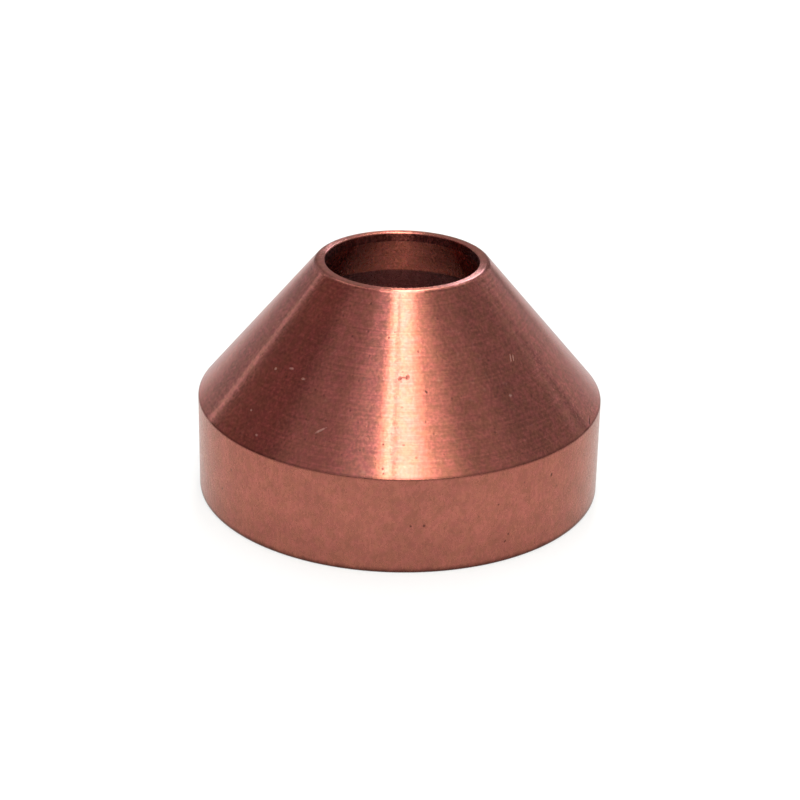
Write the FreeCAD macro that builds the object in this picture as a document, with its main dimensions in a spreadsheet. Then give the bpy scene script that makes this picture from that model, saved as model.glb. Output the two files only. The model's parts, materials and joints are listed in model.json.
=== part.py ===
# Gouging shield for a hand plasma torch: one ring, turned from copper bar.
# It stands on its skirt at Z = 0 with the tip upwards, and Z runs up the middle of the orifice.
import FreeCAD, Part
import os
import Sketcher

# Driving dimensions, in millimetres
SIZES = {
    # socket that screws on to the torch's retaining cap
    "thread_radius": 12.46,      # crests of a 26 mm thread with a pitch of 1 mm
    "socket_depth": 7.1,         # base to the seat that the cap stops against
    "pilot_step": 0.26,          # crests to the plain bore that centres the cap
    "pilot_depth": 0.8,
    "seat_width": 1.0,           # how far the seat stands in from that bore
    "relief_depth": 0.64,        # run-out groove between the thread and the plain bore
    "relief_width": 0.8,
    "tool_nose": 0.15,           # radius that the boring tool leaves in inside corners
    "mouth_chamfer": 0.6,        # lead-in of the thread, a little deeper than the thread
    # outside
    "skirt_wall": 2.54,          # crests of the thread to the outside of the skirt
    "shoulder_rise": 0.2,        # seat to the shoulder where the cone starts
    "cone_height": 10.5,         # shoulder to the tip face
    # way out of the arc
    "orifice_radius": 5.63,
    "lip_width": 0.67,           # flat ring round the orifice, before its edges are broken
    "land_length": 0.65,         # straight part of the orifice
    "flare_length": 2.8,         # taper below it, down to the chamber
    "cone_wall": 1.7,            # chamber to cone, square to both
    # edges
    "base_chamfer": 0.2,
    "edge_break": 0.1,           # shoulder, both rims of the lip, rims of seat and plain bore
}

doc = FreeCAD.newDocument("gouging_shield")
sheet = doc.addObject("Spreadsheet::Sheet", "sizes")
for row, (name, value) in enumerate(SIZES.items(), start=1):
    sheet.set(f"A{row}", name)
    sheet.set(f"B{row}", str(value))
    sheet.setAlias(f"B{row}", name)
doc.recompute()

# Radii and heights that follow from them
axis = "0"
base = "0"
thread = "sizes.thread_radius"
seat = "sizes.socket_depth"
pilot = "(sizes.thread_radius - sizes.pilot_step)"
seat_rim = f"({pilot} - sizes.seat_width)"
relief = "(sizes.thread_radius + sizes.relief_depth)"
relief_end = f"({seat} - sizes.pilot_depth)"
relief_start = f"({relief_end} - sizes.relief_width)"
relief_run_out = f"({relief_start} - sizes.relief_depth)"
skirt = "(sizes.thread_radius + sizes.skirt_wall)"
shoulder = f"({seat} + sizes.shoulder_rise)"
tip = f"({shoulder} + sizes.cone_height)"
orifice = "sizes.orifice_radius"
lip = f"({orifice} + sizes.lip_width)"
land_end = f"({tip} - sizes.land_length)"
flare_end = f"({land_end} - sizes.flare_length)"

# The chamber's cone runs parallel to the outside one, so both share a slope
slope = f"(({skirt} - {lip}) / sizes.cone_height)"
wall_across = f"(sizes.cone_wall * sqrt(1 + {slope} ^ 2))"
chamber_at_shoulder = f"({skirt} - {wall_across})"
chamber_start = f"({shoulder} + ({chamber_at_shoulder} - {seat_rim}) / {slope})"
chamber_end = f"({chamber_at_shoulder} - {slope} * ({flare_end} - {shoulder}))"


def value_of(expression):
    return float(sheet.evalExpression(expression))


def half_section(name, corners):
    """Sketch of straight edges on the XZ plane, each corner bound to a radius and a height."""
    sketch = shield.newObject("Sketcher::SketchObject", name)
    plane = next(f for f in shield.Origin.OriginFeatures if f.Role == "XZ_Plane")
    sketch.AttachmentSupport = [(plane, "")]
    sketch.MapMode = "FlatFace"
    points = [FreeCAD.Vector(value_of(radius), value_of(height), 0) for radius, height in corners]
    for start, end in zip(points, points[1:] + points[:1]):
        sketch.addGeometry(Part.LineSegment(start, end))
    for line, (radius, height) in enumerate(corners):
        following = (line + 1) % len(corners)
        sketch.addConstraint(Sketcher.Constraint("Coincident", line, 2, following, 1))
        place(sketch, "DistanceX", line, radius)
        place(sketch, "DistanceY", line, height)
    return sketch


def place(sketch, direction, line, expression):
    """Holds the line's first point on the origin's axis, or at a named distance from it."""
    if expression == "0":
        across = -2 if direction == "DistanceX" else -1
        sketch.addConstraint(Sketcher.Constraint("PointOnObject", line, 1, across))
        return
    bound = Sketcher.Constraint(direction, -1, 1, line, 1, value_of(expression))
    index = sketch.addConstraint(bound)
    sketch.setExpression(f"Constraints[{index}]", expression)


def turned(kind, name, corners):
    """A half section swept once round the Z axis, as metal added or as a cut."""
    sketch = half_section(name + "_profile", corners)
    feature = shield.newObject(kind, name)
    feature.Profile = sketch
    feature.ReferenceAxis = (sketch, ["V_Axis"])
    feature.Angle = 360
    doc.recompute()
    return feature


def edge_at(feature, radius, height):
    """Name of the feature's circular edge with that radius at that height."""
    wanted = FreeCAD.Vector(value_of(radius), 0, value_of(height))
    for index, edge in enumerate(feature.Shape.Edges, start=1):
        circle = edge.Curve
        if not isinstance(circle, Part.Circle):
            continue
        found = FreeCAD.Vector(circle.Radius, 0, circle.Center.z)
        if found.distanceToPoint(wanted) < 0.001:
            return f"Edge{index}"
    raise ValueError(f"{feature.Name} has no round edge of radius {radius} at {height}")


def dress(kind, name, base_feature, edges, amount, sized_by):
    """Chamfer or fillet on round edges, each given by its radius and height."""
    feature = shield.newObject(kind, name)
    feature.Base = (base_feature, [edge_at(base_feature, *edge) for edge in edges])
    feature.setExpression(amount, sized_by)
    doc.recompute()
    return feature


shield = doc.addObject("PartDesign::Body", "gouging_shield")
shield.Label = "gouging_shield"

# Outside: straight skirt, shoulder with its edge broken, and cone
turned("PartDesign::Revolution", "turned_blank", [
    (axis, base),
    (skirt, base),
    (skirt, f"({shoulder} - sizes.edge_break)"),
    (f"({skirt} - {slope} * sizes.edge_break)", f"({shoulder} + sizes.edge_break)"),
    (lip, tip),
    (axis, tip),
])

# Socket for the retaining cap: threaded wall, then the plain bore with the seat at its end
socket = turned("PartDesign::Groove", "socket_bore", [
    (axis, base),
    (thread, base),
    (thread, relief_end),
    (pilot, relief_end),
    (pilot, seat),
    (axis, seat),
])

# Groove that the threading tool runs out into, its lower flank at 45 degrees
thread_relief = turned("PartDesign::Groove", "thread_relief", [
    (thread, relief_run_out),
    (relief, relief_start),
    (relief, relief_end),
    (thread, relief_end),
])

# Chamber round the nozzle, then the flare and the short land of the orifice
arc_way = turned("PartDesign::Groove", "arc_way", [
    (axis, seat),
    (seat_rim, seat),
    (seat_rim, chamber_start),
    (chamber_end, flare_end),
    (orifice, land_end),
    (orifice, tip),
    (axis, tip),
])

# Edges
inside_corners = dress(
    "PartDesign::Fillet", "inside_corners", arc_way,
    [(relief, relief_end), (pilot, seat)],
    "Radius", "sizes.tool_nose")
thread_lead_in = dress(
    "PartDesign::Chamfer", "thread_lead_in", inside_corners,
    [(thread, base)],
    "Size", "sizes.mouth_chamfer")
skirt_edge = dress(
    "PartDesign::Chamfer", "skirt_edge", thread_lead_in,
    [(skirt, base)],
    "Size", "sizes.base_chamfer")
broken_edges = dress(
    "PartDesign::Chamfer", "broken_edges", skirt_edge,
    [(lip, tip), (orifice, tip), (seat_rim, seat), (pilot, relief_end)],
    "Size", "sizes.edge_break")
shield.Tip = broken_edges
doc.recompute()

for feature in doc.Objects:
    if "Invalid" in feature.State or "Error" in feature.State:
        raise RuntimeError(f"{feature.Label} did not build")
for cut in (socket, thread_relief, arc_way):
    if cut.Shape.Volume >= cut.BaseFeature.Shape.Volume:
        raise RuntimeError(f"{cut.Label} takes no metal away")
if shield.Shape.isNull() or not shield.Shape.isValid() or len(shield.Shape.Solids) != 1:
    raise RuntimeError("the shield is not one valid solid")

os.makedirs("parts", exist_ok=True)
shield.Shape.exportStep(f"parts/{shield.Label}.step")
extent = shield.Shape.BoundBox
print(f"{shield.Label}: {extent.XLength:.2f} x {extent.YLength:.2f} x {extent.ZLength:.2f} mm,")
print(f"{shield.Shape.Volume:.1f} mm3 of copper")
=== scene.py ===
import json
import math

import bpy
from mathutils import Matrix, Vector


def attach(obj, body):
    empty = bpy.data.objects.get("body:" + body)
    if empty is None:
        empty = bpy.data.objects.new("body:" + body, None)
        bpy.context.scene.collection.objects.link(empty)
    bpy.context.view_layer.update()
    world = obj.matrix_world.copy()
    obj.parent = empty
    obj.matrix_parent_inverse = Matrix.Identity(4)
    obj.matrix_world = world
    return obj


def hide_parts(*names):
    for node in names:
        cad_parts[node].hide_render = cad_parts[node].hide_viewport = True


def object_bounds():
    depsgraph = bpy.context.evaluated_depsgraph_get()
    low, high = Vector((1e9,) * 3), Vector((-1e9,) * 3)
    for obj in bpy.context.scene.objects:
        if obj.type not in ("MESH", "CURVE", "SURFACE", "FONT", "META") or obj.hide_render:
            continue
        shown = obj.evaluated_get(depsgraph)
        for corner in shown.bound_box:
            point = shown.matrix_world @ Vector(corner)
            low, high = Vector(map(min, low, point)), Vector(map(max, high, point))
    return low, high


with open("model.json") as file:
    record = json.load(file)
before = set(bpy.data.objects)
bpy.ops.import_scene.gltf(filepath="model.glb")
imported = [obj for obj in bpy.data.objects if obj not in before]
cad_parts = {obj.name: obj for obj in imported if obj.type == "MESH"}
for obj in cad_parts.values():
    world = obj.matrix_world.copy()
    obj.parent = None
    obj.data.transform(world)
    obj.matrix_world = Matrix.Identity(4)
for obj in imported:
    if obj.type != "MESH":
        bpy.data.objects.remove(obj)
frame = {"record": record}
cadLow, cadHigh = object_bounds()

mm = 0.001
mounts = {m["name"]: m for m in frame["record"]["mounts"]}
skirtRadius = cadHigh.y          # the skirt is the widest part
tipHeight = cadHigh.z            # and the lip the highest
orificeRadius = mounts["orifice"]["dims"]["r_mm"] * mm
threadCrest = mounts["thread_socket"]["dims"]["r_mm"] * mm
pilotRadius = mounts["cap_pilot"]["dims"]["r_mm"] * mm
seatHeight = mounts["cap_seat"]["pos_m"][2]


# small helpers for node trees: a value is a plain number or another node's output
def feed(tree, socket, value):
    if isinstance(value, bpy.types.NodeSocket):
        tree.links.new(value, socket)
    else:
        socket.default_value = value


def add(tree, kind, inputs=None, **settings):
    node = tree.nodes.new(kind)
    for name, value in settings.items():
        setattr(node, name, value)
    for name, value in (inputs or {}).items():
        feed(tree, node.inputs[name], value)
    return node


def calc(tree, operation, *values, clamp=False):
    node = add(tree, "ShaderNodeMath", operation=operation, use_clamp=clamp)
    for socket, value in zip(node.inputs, values):
        feed(tree, socket, value)
    return node.outputs[0]


def sockets(tree, direction, entries):
    for name, kind, value in entries:
        socket = tree.interface.new_socket(name, in_out=direction, socket_type="NodeSocket" + kind)
        if value is not None:
            socket.default_value = value


# the shield's own sizes; the rest comes from the frame
shield = {
    "skirtHeight": 7.3 * mm,
    "lipWidth": 0.67 * mm,
    "landLength": 0.65 * mm,
    "flareLength": 2.8 * mm,
    "coneWall": 1.7 * mm,
    "seatWidth": 1.0 * mm,
    "pilotDepth": 0.8 * mm,
    "reliefWidth": 0.8 * mm,
    "reliefDepth": 0.64 * mm,
    "mouthChamfer": 0.6 * mm,
    "threadPitch": 1.0 * mm,
    "threadDepth": 0.541 * mm,
    "ringStep": 0.04 * mm,       # rows of faces where the thread is cut
    "around": 240,               # faces in one turn
}


def coneSlope(s):
    lip = orificeRadius + s["lipWidth"]
    return (skirtRadius - lip) / (tipHeight - s["skirtHeight"])


# corners of the turned section, from the mouth inwards and up, over the lip and down outside;
# each is radius, height and how far its edge is rounded
def sectionCorners(s):
    slope = coneSlope(s)
    across = s["coneWall"] * math.sqrt(1 + slope ** 2)
    chamberAt = lambda height: skirtRadius - across - slope * (height - s["skirtHeight"])
    landEnd = tipHeight - s["landLength"]
    flareEnd = landEnd - s["flareLength"]
    seatRim = pilotRadius - s["seatWidth"]
    chamberStart = s["skirtHeight"] + (skirtRadius - across - seatRim) / slope
    relief = threadCrest + s["reliefDepth"]
    reliefEnd = seatHeight - s["pilotDepth"]
    reliefStart = reliefEnd - s["reliefWidth"]
    return [
        (skirtRadius, 0, 0.2 * mm),
        (skirtRadius, s["skirtHeight"], 0.13 * mm),
        (orificeRadius + s["lipWidth"], tipHeight, 0.45 * mm),
        (orificeRadius, tipHeight, 0.1 * mm),
        (orificeRadius, landEnd, 0.1 * mm),
        (chamberAt(flareEnd), flareEnd, 0.05 * mm),
        (seatRim, chamberStart, 0.3 * mm),
        (seatRim, seatHeight, 0.1 * mm),
        (pilotRadius, seatHeight, 0.15 * mm),
        (pilotRadius, reliefEnd, 0.1 * mm),
        (relief, reliefEnd, 0.15 * mm),
        (relief, reliefStart, 0.1 * mm),
        (threadCrest, reliefStart - s["reliefDepth"], 0),
        (threadCrest, s["mouthChamfer"], 0),
        (threadCrest + s["mouthChamfer"], 0, 0.05 * mm),
    ]


# the closed outline: arcs at the corners, a row close beside each arc so the flats shade flat,
# and close rows where the thread is cut
def sectionOutline(s, arcSteps=4, besideArc=0.03 * mm):
    corners = sectionCorners(s)
    threadTop = seatHeight - s["pilotDepth"] - s["reliefWidth"]
    outline = []
    for number, (radius, height, rounding) in enumerate(corners):
        here = Vector((radius, height))
        before = (Vector(corners[number - 1][:2]) - here).normalized()
        following = corners[(number + 1) % len(corners)]
        after = (Vector(following[:2]) - here).normalized()
        if rounding:
            half = before.angle(after) / 2
            reach = rounding / math.tan(half)
            centre = here + (before + after).normalized() * rounding / math.sin(half)
            start, end = here + before * reach, here + after * reach
            outline.append(start + before * besideArc)
            for step in range(arcSteps + 1):
                spoke = (start - centre).slerp(end - centre, step / arcSteps)
                outline.append(centre + spoke * rounding)
            outline.append(end + after * besideArc)
        else:
            outline.append(here)
        inThread = max(radius, following[0]) < threadCrest + 1.1 * s["reliefDepth"]
        if inThread and max(height, following[1]) <= threadTop:
            run = Vector(following[:2]) - outline[-1]
            rows = int(run.length / s["ringStep"])
            outline += [outline[-1] + run * (row / rows) for row in range(1, rows - 1)]
    return outline


# a lathe: the outline's points turned round the Z axis, with a thread cut into the socket
def latheTree():
    tree = bpy.data.node_groups.new("turnedRing", "GeometryNodeTree")
    sockets(tree, "INPUT", [
        ("Outline", "Geometry", None), ("Around", "Int", 240), ("Thread crest", "Float", 0.0),
        ("Thread depth", "Float", 0.0), ("Thread pitch", "Float", 0.0), ("Thread top", "Float", 0.0),
        ("Skirt height", "Float", 0.0), ("Cone finish", "Material", None),
        ("Skirt finish", "Material", None), ("Inside finish", "Material", None)])
    sockets(tree, "OUTPUT", [("Ring", "Geometry", None)])
    given = add(tree, "NodeGroupInput").outputs
    size = add(tree, "GeometryNodeAttributeDomainSize", {"Geometry": given["Outline"]})
    rows = size.outputs["Point Count"]
    columns = calc(tree, "ADD", given["Around"], 1)
    sheet = add(tree, "GeometryNodeMeshGrid", {
        "Vertices X": calc(tree, "ADD", rows, 1), "Vertices Y": columns}).outputs["Mesh"]
    index = add(tree, "GeometryNodeInputIndex").outputs[0]
    column = calc(tree, "MODULO", index, columns)
    row = calc(tree, "MODULO", calc(tree, "FLOOR", calc(tree, "DIVIDE", index, columns)), rows)
    place = add(tree, "GeometryNodeInputPosition").outputs[0]
    sampled = add(tree, "GeometryNodeSampleIndex", {
        "Geometry": given["Outline"], "Value": place, "Index": row}, data_type="FLOAT_VECTOR")
    point = add(tree, "ShaderNodeSeparateXYZ", {"Vector": sampled.outputs["Value"]}).outputs
    turn = calc(tree, "DIVIDE", column, given["Around"])

    # thread: how far this point is from the nearest root, along the axis
    climb = calc(tree, "SUBTRACT", calc(tree, "DIVIDE", point["Z"], given["Thread pitch"]), turn)
    offset = calc(tree, "ABSOLUTE", calc(tree, "SUBTRACT", calc(tree, "FRACT", climb), 0.5))
    flank = calc(tree, "DIVIDE", calc(tree, "SUBTRACT", 3 / 8, offset), 5 / 16, clamp=True)
    cut = calc(tree, "MULTIPLY", flank, given["Thread depth"])
    threaded = calc(tree, "MAXIMUM", point["X"], calc(tree, "ADD", given["Thread crest"], cut))
    low = calc(tree, "LESS_THAN", point["Z"], given["Thread top"])
    radius = add(tree, "ShaderNodeMix", {"Factor": low, "A": point["X"], "B": threaded}).outputs["Result"]

    angle = calc(tree, "MULTIPLY", turn, 2 * math.pi)
    x = calc(tree, "MULTIPLY", radius, calc(tree, "COSINE", angle))
    y = calc(tree, "MULTIPLY", radius, calc(tree, "SINE", angle))
    turned = add(tree, "ShaderNodeCombineXYZ", {"X": x, "Y": y, "Z": point["Z"]}).outputs[0]
    ring = add(tree, "GeometryNodeSetPosition", {"Geometry": sheet, "Position": turned}).outputs[0]
    ring = add(tree, "GeometryNodeMergeByDistance", {"Geometry": ring, "Distance": 1e-6}).outputs[0]
    ring = add(tree, "GeometryNodeFlipFaces", {"Mesh": ring}).outputs[0]
    ring = add(tree, "GeometryNodeSetShadeSmooth", {"Geometry": ring}).outputs[0]

    # finishes: what faces away from the axis is outside, and the lip with it
    spot = add(tree, "ShaderNodeSeparateXYZ", {"Vector": place}).outputs
    normal = add(tree, "GeometryNodeInputNormal").outputs[0]
    flat = add(tree, "ShaderNodeVectorMath", {0: place, 1: (1, 1, 0)}, operation="MULTIPLY").outputs[0]
    away = add(tree, "ShaderNodeVectorMath", {0: normal, 1: flat}, operation="DOT_PRODUCT").outputs["Value"]
    outside = calc(tree, "GREATER_THAN", away, 0.0003)
    lip = calc(tree, "GREATER_THAN", spot["Z"], tipHeight - 0.05 * mm)
    shown = calc(tree, "MAXIMUM", outside, lip)
    skirt = calc(tree, "MULTIPLY", outside, calc(tree, "LESS_THAN", spot["Z"], given["Skirt height"]))
    for chosen, finish in ((True, "Inside finish"), (shown, "Cone finish"), (skirt, "Skirt finish")):
        ring = add(tree, "GeometryNodeSetMaterial", {
            "Geometry": ring, "Selection": chosen, "Material": given[finish]}).outputs[0]
    ring = add(tree, "GeometryNodeRealizeInstances", {"Geometry": ring}).outputs[0]
    add(tree, "NodeGroupOutput", {"Ring": ring})
    return tree


def makeShield(s, finishes):
    wire = bpy.data.meshes.new("outline")
    points = sectionOutline(s)
    wire.from_pydata([(p.x, 0, p.y) for p in points], [], [])
    turning = bpy.data.objects.new("outline", wire)
    bpy.context.scene.collection.objects.link(turning)
    lathe = turning.modifiers.new("lathe", "NODES")
    lathe.node_group = latheTree()
    insideRelief = seatHeight - s["pilotDepth"] - 0.5 * s["reliefWidth"]
    values = {
        "Around": s["around"], "Thread crest": threadCrest, "Thread depth": s["threadDepth"],
        "Thread pitch": s["threadPitch"], "Thread top": insideRelief,
        "Skirt height": s["skirtHeight"], **finishes}
    for item in lathe.node_group.interface.items_tree:
        if item.name in values:
            lathe[item.identifier] = values[item.name]
    graph = bpy.context.evaluated_depsgraph_get()
    mesh = bpy.data.meshes.new_from_object(turning.evaluated_get(graph))
    mesh.name = "turnedShield"
    bpy.data.objects.remove(turning)
    ring = bpy.data.objects.new("turned_shield", mesh)
    bpy.context.scene.collection.objects.link(ring)
    print("shield:", len(points), "points in the section,", len(mesh.polygons), "faces")
    return ring


# effects that the finishes share, each a group of nodes; sizes are in metres
def effect(name, inputs, outputs):
    tree = bpy.data.node_groups.new(name, "ShaderNodeTree")
    sockets(tree, "INPUT", inputs)
    sockets(tree, "OUTPUT", outputs)
    return tree, add(tree, "NodeGroupInput").outputs


def useEffect(tree, group, **values):
    node = add(tree, "ShaderNodeGroup", node_tree=group)
    for name, value in values.items():
        feed(tree, node.inputs[name], value)
    return node.outputs


def vectorCalc(tree, operation, *values, scale=None):
    node = add(tree, "ShaderNodeVectorMath", operation=operation)
    for socket, value in zip(node.inputs, values):
        feed(tree, socket, value)
    if scale is not None:
        feed(tree, node.inputs["Scale"], scale)
    return node.outputs["Value" if operation in ("DOT_PRODUCT", "LENGTH") else "Vector"]


def fade(tree, value, start, end, low=0.0, high=1.0):
    return add(tree, "ShaderNodeMapRange", {
        "Value": value, "From Min": start, "From Max": end, "To Min": low, "To Max": high},
        interpolation_type="SMOOTHSTEP").outputs[0]


def mixColour(tree, factor, first, second, blend="MIX"):
    node = add(tree, "ShaderNodeMix", data_type="RGBA", blend_type=blend, clamp_result=False)
    for number, value in ((0, factor), (6, first), (7, second)):
        feed(tree, node.inputs[number], value)
    return node.outputs[2]


def noise(tree, place, across, along=None, detail=2.0, shift=(0, 0, 0)):
    along = across if along is None else along
    size = add(tree, "ShaderNodeCombineXYZ", {"X": across, "Y": across, "Z": along}).outputs[0]
    moved = vectorCalc(tree, "ADD", vectorCalc(tree, "DIVIDE", place, size), shift)
    return add(tree, "ShaderNodeTexNoise", {"Vector": moved, "Scale": 1.0, "Detail": detail}).outputs[0]


# rings that the tool leaves: how bright each is, and a surface that wavers along them
def turningMarks():
    tree, given = effect("turningMarks", [
        ("Spacing", "Float", 0.08 * mm), ("Length", "Float", 4 * mm), ("Feed", "Float", 0.28 * mm),
        ("Waver", "Float", 0.05)], [("Rings", "Float", None), ("Normal", "Vector", None)])
    place = add(tree, "ShaderNodeTexCoord").outputs["Object"]
    x, y, z = add(tree, "ShaderNodeSeparateXYZ", {"Vector": place}).outputs
    fine = noise(tree, place, given["Length"], given["Spacing"], detail=1.5)
    wander = noise(tree, place, calc(tree, "MULTIPLY", given["Length"], 0.5), given["Feed"], 1.0, (7, 3, 0))
    turns = calc(tree, "ADD", calc(tree, "DIVIDE", z, given["Feed"]), wander)
    feed = calc(tree, "SINE", calc(tree, "MULTIPLY", turns, 2 * math.pi))
    rings = calc(tree, "MULTIPLY_ADD", feed, calc(tree, "MULTIPLY", wander, 0.16), fine)
    broken = noise(tree, place, calc(tree, "MULTIPLY", given["Length"], 0.22),
                   calc(tree, "MULTIPLY", given["Spacing"], 1.4), 1.0, (0, 5, 11))
    tilt = calc(tree, "MULTIPLY", calc(tree, "SUBTRACT", broken, 0.5), given["Waver"])
    turning = add(tree, "ShaderNodeCombineXYZ", {"X": calc(tree, "MULTIPLY", y, -1), "Y": x}).outputs[0]
    turning = vectorCalc(tree, "NORMALIZE", turning)
    normal = add(tree, "ShaderNodeNewGeometry").outputs["Normal"]
    wavering = vectorCalc(tree, "ADD", normal, vectorCalc(tree, "SCALE", turning, scale=tilt))
    add(tree, "NodeGroupOutput", {"Rings": rings, "Normal": vectorCalc(tree, "NORMALIZE", wavering)})
    return tree


# copper that has dulled unevenly: broad patches, a shift of hue and fine grain
def copperTone():
    tree, given = effect("copperTone", [
        ("Fresh", "Color", (0.6, 0.2, 0.15, 1)), ("Dull", "Color", (0.5, 0.2, 0.15, 1)),
        ("Patch", "Float", 3 * mm), ("Grain", "Float", 0.2 * mm), ("Strength", "Float", 0.2)],
        [("Tone", "Color", None), ("Grain", "Float", None)])
    place = add(tree, "ShaderNodeTexCoord").outputs["Object"]
    patches = fade(tree, noise(tree, place, given["Patch"], detail=4.0), 0.34, 0.66)
    tone = mixColour(tree, patches, given["Fresh"], given["Dull"])
    hue = noise(tree, place, calc(tree, "MULTIPLY", given["Grain"], 3), detail=3.0, shift=(3, 9, 2))
    stain = mixColour(tree, fade(tree, hue, 0.3, 0.7), (0.295, 0.118, 0.066, 1), (0.47, 0.125, 0.116, 1))
    tone = mixColour(tree, calc(tree, "MULTIPLY", given["Strength"], 2.2), tone, stain)
    grain = noise(tree, place, given["Grain"], calc(tree, "MULTIPLY", given["Grain"], 1.6), 3.0, (1, 4, 8))
    light = fade(tree, grain, 0.25, 0.75)
    factor = calc(tree, "MULTIPLY_ADD", calc(tree, "SUBTRACT", light, 0.5),
                  calc(tree, "MULTIPLY", given["Strength"], 2), 1)
    tone = vectorCalc(tree, "SCALE", tone, scale=factor)
    add(tree, "NodeGroupOutput", {"Tone": tone, "Grain": light})
    return tree


# one small mark: 1 at its middle, 0 outside; Reach is its half length along its own direction
def smallMark():
    tree, given = effect("smallMark", [
        ("Middle", "Vector", None), ("Along", "Vector", (0, 0, 1)), ("Reach", "Float", 0.3 * mm),
        ("Width", "Float", 0.1 * mm)], [("Mark", "Float", None)])
    place = add(tree, "ShaderNodeTexCoord").outputs["Object"]
    ragged = noise(tree, place, 0.12 * mm, detail=2.0)
    offset = vectorCalc(tree, "SUBTRACT", place, given["Middle"])
    down = vectorCalc(tree, "DOT_PRODUCT", offset, given["Along"])
    across = vectorCalc(tree, "LENGTH", vectorCalc(
        tree, "SUBTRACT", offset, vectorCalc(tree, "SCALE", given["Along"], scale=down)))
    near = calc(tree, "POWER", calc(tree, "DIVIDE", down, given["Reach"]), 2)
    near = calc(tree, "ADD", near, calc(tree, "POWER", calc(tree, "DIVIDE", across, given["Width"]), 2))
    edge = calc(tree, "MULTIPLY_ADD", ragged, 1.2, 0.1)
    add(tree, "NodeGroupOutput", {"Mark": fade(tree, near, calc(tree, "MULTIPLY", edge, 1.6), 0.0)})
    return tree


# fine curly scratches, short and broken: where a noise crosses one level
def hairScratches():
    tree, given = effect("hairScratches", [
        ("Curl", "Float", 0.8 * mm), ("Level", "Float", 0.5), ("Width", "Float", 0.022)],
        [("Hair", "Float", None)])
    place = add(tree, "ShaderNodeTexCoord").outputs["Object"]
    field = noise(tree, place, given["Curl"], detail=1.0, shift=(6, 1, 4))
    away = calc(tree, "ABSOLUTE", calc(tree, "SUBTRACT", field, given["Level"]))
    hair = fade(tree, away, given["Width"], 0.0)
    gaps = noise(tree, place, calc(tree, "MULTIPLY", given["Curl"], 0.9), detail=1.0)
    broken = fade(tree, gaps, 0.5, 0.7)
    add(tree, "NodeGroupOutput", {"Hair": calc(tree, "MULTIPLY", hair, broken)})
    return tree


# small specks, one to a cell, of which only some show
def specks():
    tree, given = effect("specks", [
        ("Apart", "Float", 0.6 * mm), ("Size", "Float", 0.2), ("Share", "Float", 0.3)],
        [("Speck", "Float", None)])
    place = add(tree, "ShaderNodeTexCoord").outputs["Object"]
    apart = add(tree, "ShaderNodeCombineXYZ", {
        "X": given["Apart"], "Y": given["Apart"], "Z": given["Apart"]}).outputs[0]
    cell = add(tree, "ShaderNodeTexVoronoi", {
        "Scale": 1.0, "Vector": vectorCalc(tree, "DIVIDE", place, apart)}).outputs
    drawn = add(tree, "ShaderNodeSeparateXYZ", {"Vector": cell["Color"]}).outputs
    size = calc(tree, "MULTIPLY", given["Size"], calc(tree, "MULTIPLY_ADD", drawn[1], 0.7, 0.4))
    spot = fade(tree, cell["Distance"], size, calc(tree, "MULTIPLY", size, 0.3))
    chosen = calc(tree, "LESS_THAN", drawn[0], given["Share"])
    add(tree, "NodeGroupOutput", {"Speck": calc(tree, "MULTIPLY", spot, chosen)})
    return tree


# a dark line that runs round at one height, broken here and there; along the skirt's foot it carries
# painted shade
def darkLine():
    tree, given = effect("darkLine", [
        ("Height", "Float", 0.0), ("Width", "Float", 0.1 * mm)], [("Line", "Float", None)])
    place = add(tree, "ShaderNodeTexCoord").outputs["Object"]
    z = add(tree, "ShaderNodeSeparateXYZ", {"Vector": place}).outputs[2]
    ragged = noise(tree, place, 0.5 * mm, detail=3.0, shift=(2, 2, 5))
    width = calc(tree, "MULTIPLY", given["Width"], calc(tree, "ADD", ragged, 0.5))
    away = calc(tree, "ABSOLUTE", calc(tree, "SUBTRACT", z, given["Height"]))
    add(tree, "NodeGroupOutput", {"Line": fade(tree, away, width, 0.0)})
    return tree


# turned cone: bright, with the tool's rings and a few knocks
cone = {
    "fresh": (0.398, 0.133, 0.098, 1),
    "dull": (0.342, 0.115, 0.087, 1),
    "roughness": 0.2,
    "edgeTint": (0.88, 0.78, 0.77, 1),   # tarnish keeps the rim of the view from turning white
    "ringContrast": 0.38,
    "lineHeight": shield["skirtHeight"] + 0.03 * mm,   # a darker line along the shoulder
    "waver": 0.032,
    "mottle": 0.16,
    # each mark: degrees round (right positive), height, turn from level, half its length and width
    "knocks": [
        (0.1, 12.88 * mm, 60, 0.2 * mm, 0.14 * mm),
        (3.0, 12.95 * mm, 70, 0.22 * mm, 0.14 * mm),
        (1.5, 12.92 * mm, 0, 0.3 * mm, 0.05 * mm),
        (9.9, 12.11 * mm, 130, 0.17 * mm, 0.09 * mm),
        (69.0, 7.55 * mm, 30, 0.5 * mm, 0.1 * mm),
    ],
    "scratches": [
        (-24.4, 9.52 * mm, 39, 0.52 * mm, 0.09 * mm),
        (-52.4, 11.90 * mm, 0, 0.15 * mm, 0.11 * mm),
        (-45.0, 12.30 * mm, 10, 0.26 * mm, 0.1 * mm),
        (-37.6, 12.0 * mm, 0, 0.2 * mm, 0.08 * mm),
        (-51.9, 9.26 * mm, 0, 0.1 * mm, 0.09 * mm),
        (-44.7, 8.20 * mm, 0, 0.14 * mm, 0.1 * mm),
        (41.2, 11.10 * mm, 0, 0.16 * mm, 0.12 * mm),
        (49.6, 13.0 * mm, 60, 0.36 * mm, 0.05 * mm),
        (51.0, 12.95 * mm, 66, 0.3 * mm, 0.05 * mm),
    ],
}
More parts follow.
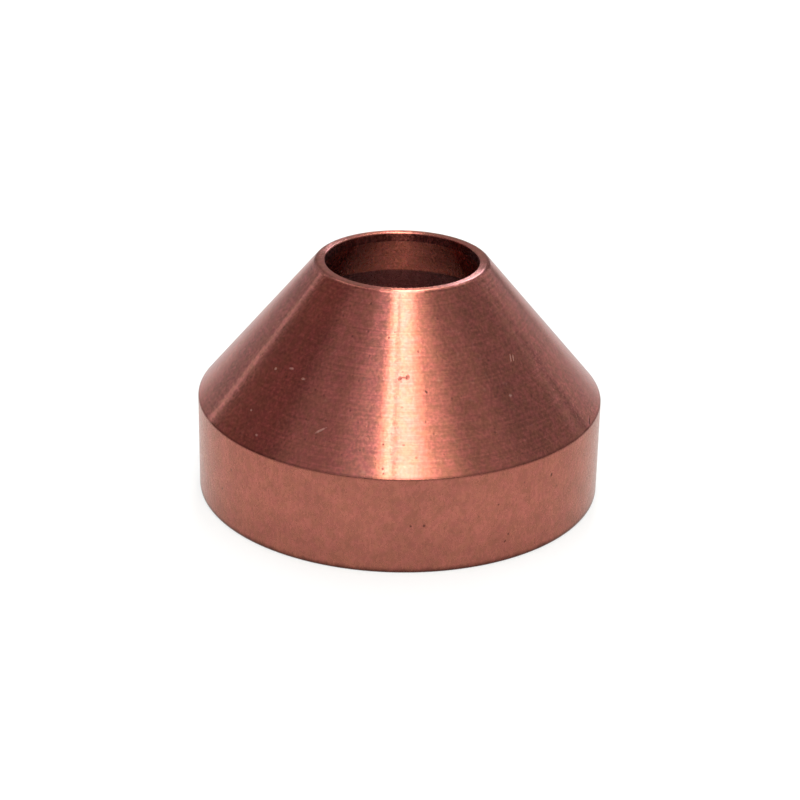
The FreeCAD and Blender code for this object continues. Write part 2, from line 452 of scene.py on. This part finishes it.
# satin skirt: the bar's own surface, dulled and faintly mottled, and darkened towards the foot as painted
# shade
skirt = {
    "fresh": (0.366, 0.125, 0.089, 1),
    "dull": (0.314, 0.108, 0.078, 1),
    "roughness": 0.27,
    "edgeTint": (0.93, 0.88, 0.84, 1),
    # painted shade: near black for the thin band along the foot, standing in for the floor's shadow that
    # the rounded base mirrors
    "footShade": (0.035, 0.011, 0.009, 1),
    "lineHeight": shield["skirtHeight"] - 0.02 * mm,
    "mottle": 0.1,
    "knocks": [
        (46.5, 5.66 * mm, 60, 0.2 * mm, 0.13 * mm),
        (31.6, 2.13 * mm, 80, 0.13 * mm, 0.09 * mm),
        (30.6, 1.62 * mm, 40, 0.17 * mm, 0.1 * mm),
        (7.2, 3.73 * mm, 0, 0.13 * mm, 0.12 * mm),
        (3.6, 3.72 * mm, 0, 0.1 * mm, 0.1 * mm),
        (28.1, 4.67 * mm, 30, 0.13 * mm, 0.07 * mm),
        (-52.7, 4.92 * mm, 90, 0.15 * mm, 0.06 * mm),
        (-57.8, 2.88 * mm, 70, 0.18 * mm, 0.07 * mm),
    ],
}
# bored inside: clean metal down to the end of the flare; below it, in the chamber, and on the orifice land
# the colour is darkened as painted shade
inside = {
    "fresh": (0.7, 0.187, 0.126, 1),
    "dull": (0.59, 0.152, 0.103, 1),
    # deep: the colour of the painted shade in the chamber and on the orifice land
    "deep": (0.18, 0.048, 0.045, 1),
    "chamberShadeBelow": 14.3 * mm,
    "landShadeFrom": 17.1 * mm,       # painted shade on the orifice land above this height
    "roughness": 0.26,
}
pitAndShade = (0.08, 0.023, 0.019, 1)    # colour at the bottom of a mark, which the painted shade towards the skirt's foot also uses
graze = (0.85, 0.55, 0.45, 1)    # bare metal in a fresh scratch


# where a mark lies on the cone or the skirt, and which way it runs
def markPlace(around, height, tilt, onCone):
    around, tilt = math.radians(around), math.radians(tilt)
    slope = coneSlope(shield) if onCone else 0
    radius = skirtRadius - slope * (height - shield["skirtHeight"]) if onCone else skirtRadius
    out = Vector((math.sin(around), -math.cos(around), 0))
    level = Vector((math.cos(around), math.sin(around), 0))
    up = (Vector((0, 0, 1)) - out * slope).normalized()
    return out * radius + Vector((0, 0, height)), level * math.cos(tilt) + up * math.sin(tilt)


def joinMarks(tree, group, marks, onCone):
    total = 0.0
    for around, height, tilt, reach, width in marks:
        middle, along = markPlace(around, height, tilt, onCone)
        spot = useEffect(tree, group, Middle=middle, Along=along, Reach=reach, Width=width)
        total = calc(tree, "MAXIMUM", spot["Mark"], total)
    return total


def copperShader(name):
    material = bpy.data.materials.new(name)
    material.use_nodes = True
    tree = material.node_tree
    shader = tree.nodes["Principled BSDF"]
    shader.inputs["Metallic"].default_value = 1
    return material, tree, shader


def followTurning(tree, shader, anisotropic):
    shader.inputs["Anisotropic"].default_value = anisotropic
    shader.inputs["Anisotropic Rotation"].default_value = 0.25
    place = add(tree, "ShaderNodeTexCoord").outputs["Object"]
    x, y, z = add(tree, "ShaderNodeSeparateXYZ", {"Vector": place}).outputs
    turning = add(tree, "ShaderNodeCombineXYZ", {"X": calc(tree, "MULTIPLY", y, -1), "Y": x}).outputs[0]
    tree.links.new(turning, shader.inputs["Tangent"])


def coneFinish(c, effects):
    material, tree, shader = copperShader("turnedCone")
    followTurning(tree, shader, 1.0)
    shader.inputs["Specular Tint"].default_value = c["edgeTint"]
    tone = useEffect(tree, effects["tone"], Fresh=c["fresh"], Dull=c["dull"], Patch=2.5 * mm,
                     Grain=0.2 * mm, Strength=c["mottle"])
    rings = useEffect(tree, effects["rings"], Waver=c["waver"])
    hairs = useEffect(tree, effects["hair"])["Hair"]
    specks = useEffect(tree, effects["specks"], Share=0.6)["Speck"]
    swing = calc(tree, "SUBTRACT", rings["Rings"], 0.5)
    ringLight = calc(tree, "MULTIPLY_ADD", swing, c["ringContrast"], 1)
    colour = vectorCalc(tree, "SCALE", tone["Tone"], scale=ringLight)
    line = useEffect(tree, effects["line"], Height=c["lineHeight"], Width=0.14 * mm)["Line"]
    knocks = joinMarks(tree, effects["mark"], c["knocks"], True)
    scratches = joinMarks(tree, effects["mark"], c["scratches"], True)
    faint = calc(tree, "MAXIMUM", calc(tree, "MULTIPLY", line, 0.5), calc(tree, "MULTIPLY", specks, 0.6))
    darkened = calc(tree, "MAXIMUM", knocks, faint)
    colour = mixColour(tree, calc(tree, "MULTIPLY", darkened, 0.85), colour, pitAndShade)
    scratched = calc(tree, "MAXIMUM", scratches, calc(tree, "MULTIPLY", hairs, 0.25))
    colour = mixColour(tree, calc(tree, "MULTIPLY", scratched, 0.4), colour, graze)
    tree.links.new(colour, shader.inputs["Base Color"])
    rough = calc(tree, "MULTIPLY_ADD", calc(tree, "SUBTRACT", tone["Grain"], 0.5), 0.05, c["roughness"])
    rough = calc(tree, "MULTIPLY_ADD", scratches, 0.2, rough)
    tree.links.new(rough, shader.inputs["Roughness"])
    deep = calc(tree, "ADD", knocks, scratches)
    dent = calc(tree, "SUBTRACT", calc(tree, "MULTIPLY", tone["Grain"], 0.05), deep)
    dent = calc(tree, "MULTIPLY_ADD", rings["Rings"], 0.06, dent)
    dent = calc(tree, "MULTIPLY_ADD", specks, -0.35, dent)
    bump = add(tree, "ShaderNodeBump", {
        "Height": dent, "Distance": 0.02 * mm, "Strength": 0.6, "Normal": rings["Normal"]}).outputs[0]
    tree.links.new(bump, shader.inputs["Normal"])
    return material


def skirtFinish(c, effects):
    material, tree, shader = copperShader("satinSkirt")
    tone = useEffect(tree, effects["tone"], Fresh=c["fresh"], Dull=c["dull"], Patch=1.6 * mm,
                     Grain=0.26 * mm, Strength=c["mottle"])
    shader.inputs["Specular Tint"].default_value = c["edgeTint"]
    shoulder = useEffect(tree, effects["line"], Height=c["lineHeight"], Width=0.12 * mm)["Line"]
    # painted shade: a thin dark band along the foot
    footShade = useEffect(tree, effects["line"], Height=0.0, Width=0.55 * mm)["Line"]
    # painted shade: the skirt grows darker towards the foot, for the shadow round its base that it mirrors
    low = useEffect(tree, effects["line"], Height=0.0, Width=4.5 * mm)["Line"]
    specks = useEffect(tree, effects["specks"], Apart=0.8 * mm, Size=0.13, Share=0.4)["Speck"]
    knocks = joinMarks(tree, effects["mark"], c["knocks"], False)
    pits = calc(tree, "MAXIMUM", knocks, calc(tree, "MULTIPLY", specks, 0.6))
    darkened = calc(tree, "MAXIMUM", pits, calc(tree, "MULTIPLY", shoulder, 0.55))
    # the painted shade towards the foot joins the marks here
    darkened = calc(tree, "MAXIMUM", darkened, calc(tree, "MULTIPLY", low, 0.16))
    colour = mixColour(tree, calc(tree, "MULTIPLY", darkened, 0.85), tone["Tone"], pitAndShade)
    colour = mixColour(tree, calc(tree, "MULTIPLY", footShade, 0.95), colour, c["footShade"])
    tree.links.new(colour, shader.inputs["Base Color"])
    rough = calc(tree, "MULTIPLY_ADD", calc(tree, "SUBTRACT", tone["Grain"], 0.5), 0.08, c["roughness"])
    tree.links.new(rough, shader.inputs["Roughness"])
    dent = calc(tree, "SUBTRACT", calc(tree, "MULTIPLY", tone["Grain"], 0.2), pits)
    bump = add(tree, "ShaderNodeBump", {"Height": dent, "Distance": 0.02 * mm, "Strength": 0.6}).outputs[0]
    tree.links.new(bump, shader.inputs["Normal"])
    return material


def insideFinish(c, effects):
    material, tree, shader = copperShader("boredInside")
    followTurning(tree, shader, 1.0)
    tone = useEffect(tree, effects["tone"], Fresh=c["fresh"], Dull=c["dull"], Patch=2 * mm,
                     Grain=0.2 * mm, Strength=0.15)
    rings = useEffect(tree, effects["rings"], Spacing=0.12 * mm, Waver=0.04)
    ringLight = calc(tree, "MULTIPLY_ADD", calc(tree, "SUBTRACT", rings["Rings"], 0.5), 0.4, 1)
    place = add(tree, "ShaderNodeTexCoord").outputs["Object"]
    z = add(tree, "ShaderNodeSeparateXYZ", {"Vector": place}).outputs[2]
    # painted shade: darker in the chamber below the flare
    down = fade(tree, z, c["chamberShadeBelow"] + 0.1 * mm, c["chamberShadeBelow"] - 0.1 * mm)
    # painted shade: the orifice land darkened towards the deep colour
    landShade = fade(tree, z, c["landShadeFrom"] - 0.1 * mm, c["landShadeFrom"] + 0.1 * mm, 0.0, 0.8)
    colour = mixColour(tree, calc(tree, "MAXIMUM", down, landShade), tone["Tone"], c["deep"])
    colour = vectorCalc(tree, "SCALE", colour, scale=ringLight)
    tree.links.new(colour, shader.inputs["Base Color"])
    rough = calc(tree, "MULTIPLY_ADD", calc(tree, "SUBTRACT", tone["Grain"], 0.5), 0.1, c["roughness"])
    tree.links.new(rough, shader.inputs["Roughness"])
    tree.links.new(rings["Normal"], shader.inputs["Normal"])
    return material


effects = {
    "tone": copperTone(), "rings": turningMarks(), "mark": smallMark(), "line": darkLine(),
    "hair": hairScratches(), "specks": specks()}
finishes = {
    "Cone finish": coneFinish(cone, effects),
    "Skirt finish": skirtFinish(skirt, effects),
    "Inside finish": insideFinish(inside, effects),
}
print("finishes:", ", ".join(finish.name for finish in finishes.values()))
ring = makeShield(shield, finishes)
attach(ring, "root")
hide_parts("gouging_shield")


# the camera, fitted to the photograph's outlines
viewpoint = {
    "lens": 100.44,              # mm, on a sensor 36 mm wide
    "distance": 167.1 * mm,
    "lookAtHeight": 6.75 * mm,
    "elevation": 24.29,          # degrees above the floor
    "lean": 1.13,                # degrees that the picture leans to the right
    "shift": (0.000625, -0.003125),
}


def makeCamera(v):
    data = bpy.data.cameras.new("viewpoint")
    data.sensor_width = 36
    data.lens = v["lens"]
    data.shift_x, data.shift_y = v["shift"]
    data.clip_start, data.clip_end = 1 * mm, 50
    camera = bpy.data.objects.new("viewpoint", data)
    bpy.context.scene.collection.objects.link(camera)
    tilt = math.radians(90 - v["elevation"])
    turned = Matrix.Rotation(tilt, 4, "X") @ Matrix.Rotation(math.radians(v["lean"]), 4, "Z")
    target = Vector((0, 0, v["lookAtHeight"]))
    camera.matrix_world = Matrix.Translation(target) @ turned @ Matrix.Translation((0, 0, v["distance"]))
    bpy.context.scene.camera = camera
    print("camera:", [round(c / mm, 1) for c in camera.location], "mm")


makeCamera(viewpoint)


# the room: a pale floor inside a tall paper tent that is lit from behind in panels
room = {
    "floorSize": 6.0,
    "floorShade": 0.8,           # how pale the floor is to everything but the camera
    "floorShadow": 0.3,          # how much of the floor's light comes from the lamps, for the camera
    "tentRadius": 0.5,
    "tentHeight": 2.0,
    "tentSides": 96,
    "paper": 0.04,               # brightness of the tent between its panels
    "topLight": 6.0,             # soft light that closes the tent at the top
    "white": 0.64,               # what the floor adds for the camera, to end up white where it is lit
    "sky": 0.7,                  # light of the world beyond the tent; what shows of it is white
}
# panels by where they stand, in degrees round from the camera's side (right is positive), with how
# softly each side fades, how far up they reach in degrees and how bright they are; where two
# sheets of paper overlap the light is taken away again, which draws a thin dark seam
panels = {
    "leftEdge": {"side": (-121, -100), "fade": (1.5, 10), "up": (0, 80), "light": (0.27, 0.18, 0.18)},
    "leftDark": {"side": (-100, -82), "fade": (10, 16), "up": (0, 80), "light": (0.27, 0.16, 0.18)},
    "leftUp": {"side": (-78, -30), "fade": (16, 24), "up": (0, 80), "light": (0.52, 0.47, 0.50)},
    "keyLeft": {"side": (-33, -15), "fade": (36, 3), "up": (25, 80), "light": (1.25, 1.30, 1.45)},
    "keyEdge": {"side": (-15, -9), "fade": (5, 3), "up": (25, 80), "light": (4.2, 4.1, 3.6)},
    "key": {"side": (-9.8, 15), "fade": (4, 3.5), "up": (25, 80), "light": (5.5, 5.5, 4.8)},
    "keyLine": {"side": (-8, -4.9), "fade": (1.6, 1.4), "up": (25, 80), "light": (3.0, 3.0, 2.9)},
    "keyCore": {"side": (-1.4, 12), "fade": (2, 3), "up": (25, 80), "light": (1.0, 1.0, 1.1)},
    "keySeam": {"side": (-4.4, -1.9), "fade": (1.2, 1.2), "up": (25, 80), "light": (-3.9, -3.9, -3.3)},
    "keyOut": {"side": (15, 22), "fade": (3.5, 6), "up": (25, 80), "light": (4.1, 4.1, 3.5)},
    "keyRight": {"side": (22, 40), "fade": (6, 24), "up": (25, 80), "light": (1.9, 1.9, 1.7)},
    "right": {"side": (38, 74), "fade": (16, 16), "up": (0, 80), "light": (0.60, 0.59, 0.58)},
    "rightDark": {"side": (74, 114.5), "fade": (16, 3), "up": (0, 80), "light": (0.36, 0.35, 0.37)},
    "wallRight": {"side": (116, 148), "fade": (2.4, 8), "up": (0, 80), "light": (0.65, 0.70, 0.74)},
    "seamRight": {"side": (122.6, 125.1), "fade": (1, 1), "up": (0, 80), "light": (-0.68, -0.73, -0.77)},
    "wallBack": {"side": (148, 205), "fade": (8, 12), "up": (0, 80), "light": (0.22, 0.20, 0.20)},
    "lipLight": {"side": (166, 194), "fade": (14, 14), "up": (12, 80), "light": (0.33, 0.34, 0.34)},
    "lipGlow": {"side": (170, 183), "fade": (8, 5), "up": (42, 72), "light": (15, 15, 14)},
    "lipSide": {"side": (167, 176), "fade": (5, 4), "up": (27, 34), "light": (10, 13.5, 17)},
    "wallLeft": {"side": (205, 235.4), "fade": (12, 1), "up": (0, 80), "light": (0.50, 0.55, 0.60)},
    "seamLeft": {"side": (228.6, 230.4), "fade": (1, 1), "up": (0, 80), "light": (-0.12, -0.12, -0.12)},
    "lowLine": {"side": (232.9, 234.9), "fade": (1, 0.8), "up": (2, 32), "light": (1.6, 1.75, 1.85)},
    "backRight": {"side": (136, 150), "fade": (6, 6), "up": (45, 80), "light": (2, 2, 2)},
    "backLeft": {"side": (208, 224), "fade": (6, 6), "up": (45, 80), "light": (2, 2, 2)},
}


def paperMaterial(r, lit):
    material = bpy.data.materials.new("litPaper")
    material.use_nodes = True
    tree = material.node_tree
    tree.nodes.clear()
    place = add(tree, "ShaderNodeTexCoord").outputs["Object"]
    x, y, z = add(tree, "ShaderNodeSeparateXYZ", {"Vector": place}).outputs
    seam = -122                  # where the count of degrees round starts, in the darkest stretch
    around = calc(tree, "ARCTAN2", x, calc(tree, "MULTIPLY", y, -1))
    turns = calc(tree, "FRACT", calc(tree, "MULTIPLY_ADD", around, 1 / (2 * math.pi), -seam / 360))
    side = calc(tree, "MULTIPLY_ADD", turns, 360, seam)
    climb = calc(tree, "DEGREES", calc(tree, "ARCTAN2", z, r["tentRadius"]))
    total = (r["paper"], r["paper"], r["paper"])
    for panel in lit.values():
        (start, end), (fadeIn, fadeOut), (low, high) = panel["side"], panel["fade"], panel["up"]
        rise = fade(tree, side, start - fadeIn / 2, start + fadeIn / 2)
        fall = fade(tree, side, end + fadeOut / 2, end - fadeOut / 2)
        shape = calc(tree, "MULTIPLY", rise, fall)
        if low > 0:
            shape = calc(tree, "MULTIPLY", shape, fade(tree, climb, low - 3, low + 3))
        if high < 80:
            shape = calc(tree, "MULTIPLY", shape, fade(tree, climb, high + 3, high - 3))
        total = vectorCalc(tree, "ADD", vectorCalc(tree, "SCALE", panel["light"], scale=shape), total)
    glow = add(tree, "ShaderNodeEmission", {"Color": total})
    add(tree, "ShaderNodeOutputMaterial", {"Surface": glow.outputs[0]})
    return material


# pale to the camera and in reflections, where it only takes the shield's shadow; a plain matt
# floor to other light, and inside the shield
def floorMaterial(r):
    material = bpy.data.materials.new("paleFloor")
    material.use_nodes = True
    tree = material.node_tree
    tree.nodes.clear()
    shade, dark = r["floorShade"], r["floorShadow"]
    lit = add(tree, "ShaderNodeBsdfDiffuse", {"Color": (shade, shade, shade, 1)}).outputs[0]
    shadowed = add(tree, "ShaderNodeBsdfDiffuse", {"Color": (dark, dark, dark, 1)}).outputs[0]
    white = add(tree, "ShaderNodeEmission", {"Strength": r["white"]}).outputs[0]
    seen = add(tree, "ShaderNodeAddShader", {0: shadowed, 1: white}).outputs[0]
    place = add(tree, "ShaderNodeTexCoord").outputs["Object"]
    outside = calc(tree, "GREATER_THAN", vectorCalc(tree, "LENGTH", place), skirtRadius - 1.5 * mm)
    shown = calc(tree, "MULTIPLY", shownRay(tree), outside)
    surface = add(tree, "ShaderNodeMixShader", {0: shown, 1: lit, 2: seen}).outputs[0]
    add(tree, "ShaderNodeOutputMaterial", {"Surface": surface})
    return material


# 1 for what the camera sees straight, in a mirror or through glass
def shownRay(tree):
    path = add(tree, "ShaderNodeLightPath").outputs
    shown = calc(tree, "MAXIMUM", path["Is Camera Ray"], path["Is Glossy Ray"])
    return calc(tree, "MAXIMUM", shown, path["Is Transmission Ray"])


def topMaterial(r):
    material = bpy.data.materials.new("softTop")
    material.use_nodes = True
    tree = material.node_tree
    tree.nodes.clear()
    glow = add(tree, "ShaderNodeEmission", {"Strength": r["topLight"]})
    add(tree, "ShaderNodeOutputMaterial", {"Surface": glow.outputs[0]})
    return material


def makeRoom(r, lit):
    half = r["floorSize"] / 2
    mesh = bpy.data.meshes.new("floor")
    corners = [(-half, -half, 0), (half, -half, 0), (half, half, 0), (-half, half, 0)]
    mesh.from_pydata(corners, [], [(0, 1, 2, 3)])
    mesh.materials.append(floorMaterial(r))
    floor = bpy.data.objects.new("floor", mesh)
    steps = r["tentSides"]
    rings = []
    for height in (0, r["tentHeight"]):
        for step in range(steps):
            turn = 2 * math.pi * step / steps
            rings.append((r["tentRadius"] * math.cos(turn), r["tentRadius"] * math.sin(turn), height))
    pairs = [(step, (step + 1) % steps) for step in range(steps)]
    walls = [(one, other, other + steps, one + steps) for one, other in pairs]
    paper = bpy.data.meshes.new("lightTent")
    paper.from_pydata(rings, [], walls)
    paper.materials.append(paperMaterial(r, lit))
    tent = bpy.data.objects.new("light_tent", paper)
    tent.visible_camera = False
    disc = bpy.data.meshes.new("topLight")
    disc.from_pydata([(x, y, r["tentHeight"]) for x, y, z in rings[:steps]], [], [range(steps)])
    disc.materials.append(topMaterial(r))
    top = bpy.data.objects.new("top_light", disc)
    top.visible_camera = False
    for item in (floor, tent, top):
        bpy.context.scene.collection.objects.link(item)
    print("room: floor and tent with", len(lit), "panels")


def makeWorld(r):
    world = bpy.data.worlds.new("whiteRoom")
    bpy.context.scene.world = world
    world.use_nodes = True
    tree = world.node_tree
    tree.nodes.clear()
    strength = calc(tree, "MULTIPLY_ADD", shownRay(tree), 1 - r["sky"], r["sky"])
    sky = add(tree, "ShaderNodeBackground", {"Color": (1, 1, 1, 1), "Strength": strength}).outputs[0]
    add(tree, "ShaderNodeOutputWorld", {"Surface": sky})


makeRoom(room, panels)
makeWorld(room)

bpy.context.scene.view_settings.view_transform = "Standard"
